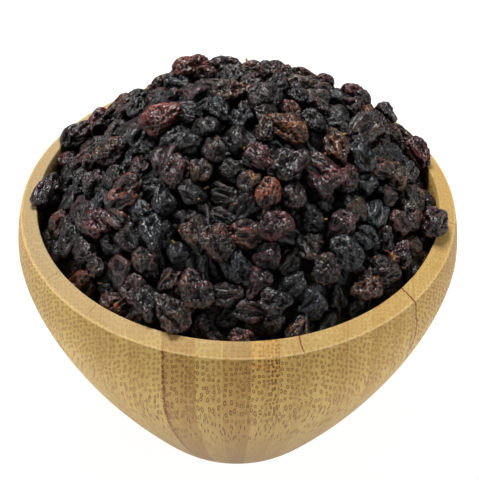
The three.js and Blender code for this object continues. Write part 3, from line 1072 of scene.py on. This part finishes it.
class CURRANTS_OT_heap(bpy.types.Operator):
    """Shrivel the currants and pile them"""

    bl_idname = "currants.heap"
    bl_label = "Currants"

    def execute(self, context):
        settings = context.scene.currants_heap
        material = currant_material()
        models = []
        for number in range(2 * len(BUILDS)):
            build = number % len(BUILDS)
            outer = currant_model(build, number, settings.outer_faces)
            mark_ridges(outer, USUAL_SIZE)
            outer.data.materials.append(material)
            only_select(outer)
            bpy.ops.object.shade_smooth()
            bpy.ops.object.duplicate()
            inner = context.object
            apply_modifier(inner, "DECIMATE", ratio=settings.inner_faces / len(inner.data.polygons))
            models.append((build, outer, inner))

        currants = draw_currants(settings.seed)
        settle(currants)
        chance = random.Random(LAYING_SEED)
        layers = {"outer": [], "inner": []}
        for currant in currants:
            normal = dome_normal(currant["place"].x, currant["place"].y)
            sunk = dome_depth(currant["place"], normal) - currant["reach"]
            currant["outside"] = sunk < VISIBLE_SINK
            build = currant.get("build")
            _, outer, inner = chance.choice([model for model in models if build in (None, model[0])])
            layer, model = ("outer", outer) if currant["outside"] else ("inner", inner)
            layers[layer].append(lay_currant(model, currant, chance))
        for _, outer, inner in models:
            bpy.data.objects.remove(outer)
            bpy.data.objects.remove(inner)

        for layer, (columns, rows) in (("outer", OUTER_CELLS), ("inner", INNER_CELLS)):
            each = columns * rows
            for start in range(0, len(layers[layer]), each):
                group = layers[layer][start : start + each]
                for number, piece in enumerate(group):
                    into_cell(piece.data, number, columns, rows)
                joined = join_pieces(group, f"currants_{layer}_{start // each + 1}")
                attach(joined, "root")
                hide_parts("currant_heap")
        return {"FINISHED"}


# Stalks

# Stalk ends left on the currants: x, y, length, thickness, colour
STALK_ENDS = [
    (1, -14.9, 1.1, 0.7, "gold"), (20.2, -15.3, 1.0, 0.8, "russet"), (3.8, -23.6, 1.7, 1.0, "gold"),
    (24.4, -7.9, 1.0, 0.7, "gold"), (16.8, -5.6, 1.1, 0.8, "russet"), (-22.2, -24.2, 1.4, 0.9, "russet"),
    (-14.2, -31.3, 1.3, 0.9, "russet"), (-15.7, -33, 1.0, 0.7, "gold"), (-8.5, -22.6, 1.5, 1.0, "gold"),
    (-10, -26, 0.9, 0.6, "gold"), (13.4, -25.4, 1.0, 0.7, "straw"), (-1.1, -28, 1.1, 0.8, "russet"),
    (6.1, -29.9, 1.0, 0.7, "gold"), (21.9, -27.6, 1.0, 0.8, "gold"), (21.3, -32.2, 1.1, 0.7, "russet"),
    (17.1, -29.2, 0.9, 0.6, "straw"), (-34.6, -31.6, 1.4, 0.9, "russet"), (-33.6, -33.7, 1.3, 0.9, "gold"),
    (-43.3, -22, 1.2, 0.8, "russet"), (37.5, -27.3, 1.4, 0.9, "gold"), (32.7, -30, 1.0, 0.7, "russet"),
    (-16.3, 11.4, 1.2, 0.8, "russet"), (45.8, 1.6, 2.4, 1.0, "russet"), (-6, 36, 1.2, 0.8, "gold"),
    (14, 33, 1.1, 0.8, "russet"), (-24, 29, 1.3, 0.9, "gold"), (30, 22, 1.0, 0.7, "straw"),
    (-35, 14, 1.2, 0.8, "russet"), (2, 24, 1.4, 0.9, "gold"), (24, 38, 1.1, 0.8, "gold"),
]

# Loose stems: foot, knob at the end, thickness, colour
STEMS = [
    ((-24.9, -38.6, 73.3), (-28.0, -39.6, 70.1), 0.42, "straw"),
    ((-25.4, -39.4, 71.5), (-27.0, -39.7, 69.8), 0.35, "straw"),
    ((34.3, -26.7, 77.2), (36.0, -27.1, 75.5), 0.4, "russet"),
    ((-8, 30, 91), (-12, 27, 91.5), 0.45, "straw"), ((28, 30, 80), (31, 27, 80.5), 0.4, "russet"),
]
STALK_COLOURS = {"gold": linear("#B07F36"), "russet": linear("#8E4A22"), "straw": linear("#544E3C")}

# Rings of a stalk that is 1 long and 1 thick: height, step to the side, width
END_RINGS = [(0.25, 0.05, 0.8), (0.55, 0.1, 0.62), (0.8, 0.2, 0.75), (1.0, 0.25, 0.5)]
STEM_RINGS = [
    (0.1, 0.3, 0.8), (0.3, 0.8, 0.7), (0.5, 1.0, 0.7), (0.66, 0.9, 0.8),
    (0.72, 0.8, 2.6), (0.86, 0.65, 3.4), (1.0, 0.5, 2.2),
]
KNOB_FROM = 0.68

# How stalk ends are put on: the seed, how much they lean and how deep they are rooted, and the height
# above the heap from which their places are looked for
STALK_SEED = 11
STALK_LEAN = 0.6
STALK_ROOT = 0.2
ABOVE_HEAP = 8
BARK_STREAKS = "#2E1C10"


class CURRANTS_PG_stalks(bpy.types.PropertyGroup):
    sides: IntProperty(
        name="Sides", description="Sides of a stalk before it is rounded", default=8, min=5, max=16
    )


def stalk_model(rings, sides):
    """A stalk that stands on its foot, each ring extruded from the one below."""
    deselect_all()
    bpy.ops.mesh.primitive_circle_add(vertices=sides, radius=0.5, fill_type="NGON")
    stalk = bpy.context.object
    bpy.ops.object.mode_set(mode="EDIT")
    bpy.ops.mesh.select_all(action="SELECT")
    height, side, width = 0, 0, 1
    for next_height, next_side, next_width in rings:
        step = (next_side - side, 0, next_height - height)
        bpy.ops.mesh.extrude_region_move(TRANSFORM_OT_translate={"value": step})
        height, side = next_height, next_side
        share = next_width / width
        bpy.ops.transform.resize(value=(share, share, 1), center_override=(side, 0, height))
        width = next_width
    bpy.ops.mesh.select_all(action="SELECT")
    bpy.ops.mesh.normals_make_consistent(inside=False)
    bpy.ops.object.mode_set(mode="OBJECT")
    apply_modifier(stalk, "SUBSURF", levels=1, render_levels=1)
    only_select(stalk)
    bpy.ops.object.shade_smooth()
    return stalk


def stalk_material():
    # Dried grape stalk: woody and dull, with darker streaks where the bark has shrunk
    material, tree, shader = new_material("dried_grape_stalk")
    add = partial(add_node, tree)
    mm = add("Mapping", {"Vector": add("TexCoord", out="Object"), "Scale": IN_MM})
    colour = add("Attribute", out="Color", attribute_name="stalk_colour")
    bark = add("TexNoise", {"Vector": mm, "Scale": 2.0, "Detail": 3.0, "Roughness": 0.7})
    dark = add("MapRange", (bark, 0.4, 0.65, 0.0, 0.7))
    colour = layered(tree, colour, [(dark, linear(BARK_STREAKS))])
    tree.links.new(colour, shader.inputs["Base Color"])
    bump = add("Bump", {"Height": bark, "Strength": 0.6, "Distance": 0.00015})
    tree.links.new(bump, shader.inputs["Normal"])
    tree.links.new(add("MapRange", (bark, 0.3, 0.7, 0.5, 0.75)), shader.inputs["Roughness"])
    return material


def heap_surface(x, y):
    """Where a line from above the heap, square to it, meets a currant, and how that spot faces."""
    inward = -dome_normal(x, y)
    start = (Vector((x, y, dome_height(x, y))) - inward * ABOVE_HEAP) * MM
    hits = []
    for piece in bpy.data.objects:
        if piece.name.startswith("currants_"):
            found, spot, facing, _ = piece.ray_cast(start, inward)
            if found:
                hits.append(((spot - start).length, spot / MM, facing))
    _, spot, facing = min(hits, key=lambda hit: hit[0])
    return spot, facing


def lay_stalk(model, foot, end, upward, thickness, colour, tip):
    """A copy of the model from its foot to its end, bent towards the upward side."""
    piece = own_copy(model)
    along = (end - foot).normalized()
    out = (upward - along * upward.dot(along)).normalized()
    turn = Matrix((out, along.cross(out), along)).transposed().to_4x4()
    size = Matrix.Diagonal((thickness, thickness, (end - foot).length, 1))
    place = Matrix.Translation(foot) @ turn @ size
    colours = [STALK_COLOURS[tip if point.co.z > KNOB_FROM else colour] for point in piece.data.vertices]
    add_attribute(piece.data, "stalk_colour", "FLOAT_COLOR", colours)
    piece.data.transform(Matrix.Scale(MM, 4) @ place)
    return piece


class CURRANTS_OT_stalks(bpy.types.Operator):
    """Put stalk ends and loose stems on the heap"""

    bl_idname = "currants.stalks"
    bl_label = "Stalks"

    def execute(self, context):
        sides = context.scene.currants_stalks.sides
        stalk_end = stalk_model(END_RINGS, sides)
        stem = stalk_model(STEM_RINGS, sides)
        pieces = []
        chance = random.Random(STALK_SEED)
        for x, y, length, thickness, colour in STALK_ENDS:
            spot, facing = heap_surface(x, y)
            aside = Vector([chance.uniform(-STALK_LEAN, STALK_LEAN) for _ in range(3)])
            along = (facing + aside).normalized()
            foot = spot - facing * STALK_ROOT
            end = foot + along * length
            pieces.append(lay_stalk(stalk_end, foot, end, Vector((0.3, 0.2, 1)), thickness, colour, colour))
        for foot, end, thickness, colour in STEMS:
            foot = Vector(foot)
            end = Vector(end)
            pieces.append(lay_stalk(stem, foot, end, Vector((0, 0, 1)), thickness, colour, "russet"))
        bpy.data.objects.remove(stalk_end)
        bpy.data.objects.remove(stem)
        stalks = join_pieces(pieces, "grape_stalks")
        stalks.data.materials.append(stalk_material())
        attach(stalks, "root")
        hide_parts("currant_heap")
        return {"FINISHED"}


# Stage

# Camera: lens and sensor in millimetres, near limit and the point that it looks at
LENS = 120.43
SENSOR_WIDTH = 36
CLIP_START = 0.01
TARGET = Vector((0.00043, 0, 0.0561))

# Softboxes: name, place, width and share of the power, and the point that they all face
SOFTBOXES = [
    ("softbox_above", (-0.1, 0.2, 0.7), 0.2, 4.2),
    ("softbox_behind", (0, 0.75, 0.6), 0.8, 1.35),
    ("softbox_left", (-0.65, -0.3, 0.25), 0.5, 1.5),
    ("softbox_right", (0.65, -0.3, 0.35), 0.5, 1.7),
]
LIGHT_TARGET = Vector((0, 0, 0.06))
FLOOR_RADIUS = 1.5


class CURRANTS_PG_stage(bpy.types.PropertyGroup):
    elevation: FloatProperty(
        name="Elevation", description="Camera angle above the horizon", subtype="ANGLE",
        default=math.radians(41.65),
    )
    distance: FloatProperty(
        name="Distance", description="Camera to the middle of the view", unit="LENGTH", default=0.4072
    )
    roll: FloatProperty(name="Roll", description="Camera roll", subtype="ANGLE", default=0.011)
    floor: colour_setting("Floor", "Colour of the floor's paper", "#7D7C7A")
    glow: FloatProperty(name="Floor Glow", description="Light from below the paper", default=0.92, min=0)
    sky: FloatProperty(name="Room Light", description="Light from all round", default=0.09, min=0)
    softbox: FloatProperty(name="Softbox", description="Power of a softbox in watts", default=1.5, min=0)


class CURRANTS_OT_stage(bpy.types.Operator):
    """Set up the camera, the floor and the soft lights"""

    bl_idname = "currants.stage"
    bl_label = "Stage"

    def execute(self, context):
        settings = context.scene.currants_stage
        scene = context.scene
        rise = settings.elevation
        away = Vector((0, -math.cos(rise), math.sin(rise)))
        camera = bpy.data.objects.new("camera", bpy.data.cameras.new("camera"))
        scene.collection.objects.link(camera)
        camera.data.lens = LENS
        camera.data.sensor_width = SENSOR_WIDTH
        camera.data.clip_start = CLIP_START
        turn = Matrix.Rotation(math.radians(90) - rise, 4, "X") @ Matrix.Rotation(settings.roll, 4, "Z")
        camera.matrix_world = Matrix.Translation(TARGET + away * settings.distance) @ turn
        scene.camera = camera

        deselect_all()
        bpy.ops.mesh.primitive_circle_add(
            vertices=96, radius=FLOOR_RADIUS, fill_type="NGON", location=(0, 0, 0)
        )
        floor = context.object
        floor.name = "floor"
        # Matt white paper lit from below, so the bowl's shadow on it stays faint
        material, _, shader = new_material("backlit_paper_floor")
        shader.inputs["Base Color"].default_value = settings.floor
        shader.inputs["Roughness"].default_value = 0.9
        shader.inputs["Emission Color"].default_value = (1, 1, 1, 1)
        shader.inputs["Emission Strength"].default_value = settings.glow
        floor.data.materials.append(material)

        world = bpy.data.worlds.new("room")
        scene.world = world
        world.use_nodes = True
        sky = world.node_tree.nodes["Background"]
        sky.inputs["Color"].default_value = (1, 1, 1, 1)
        sky.inputs["Strength"].default_value = settings.sky

        for name, place, size, power in SOFTBOXES:
            light = bpy.data.objects.new(name, bpy.data.lights.new(name, "AREA"))
            scene.collection.objects.link(light)
            light.data.size = size
            light.data.energy = settings.softbox * power
            light.location = place
            light.rotation_euler = (LIGHT_TARGET - light.location).to_track_quat("-Z", "Y").to_euler()
        scene.view_settings.view_transform = "Standard"
        return {"FINISHED"}


class CURRANTS_PT_panel(bpy.types.Panel):
    """Builds the bowl of currants piece by piece"""

    bl_idname = "CURRANTS_PT_panel"
    bl_label = "Bowl of Currants"
    bl_space_type = "VIEW_3D"
    bl_region_type = "UI"
    bl_category = "Currants"

    def draw(self, context):
        layout = self.layout
        for operator in OPERATORS:
            layout.operator(operator.bl_idname)


OPERATORS = (CURRANTS_OT_stage, CURRANTS_OT_bowl, CURRANTS_OT_heap, CURRANTS_OT_lower, CURRANTS_OT_stalks)
SETTINGS = {
    "currants_stage": CURRANTS_PG_stage,
    "currants_bowl": CURRANTS_PG_bowl,
    "currants_heap": CURRANTS_PG_heap,
    "currants_stalks": CURRANTS_PG_stalks,
}


def register():
    for group in SETTINGS.values():
        bpy.utils.register_class(group)
    for item in (*OPERATORS, CURRANTS_PT_panel):
        bpy.utils.register_class(item)
    for name, group in SETTINGS.items():
        setattr(bpy.types.Scene, name, PointerProperty(type=group))


def unregister():
    for name in SETTINGS:
        delattr(bpy.types.Scene, name)
    for item in (CURRANTS_PT_panel, *reversed(OPERATORS)):
        bpy.utils.unregister_class(item)
    for group in SETTINGS.values():
        bpy.utils.unregister_class(group)


def main():
    register()
    bpy.ops.currants.stage()
    bpy.ops.currants.bowl()
    bpy.ops.currants.heap()
    bpy.ops.currants.lower()
    bpy.ops.currants.stalks()
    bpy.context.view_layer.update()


if __name__ == "__main__":
    main()
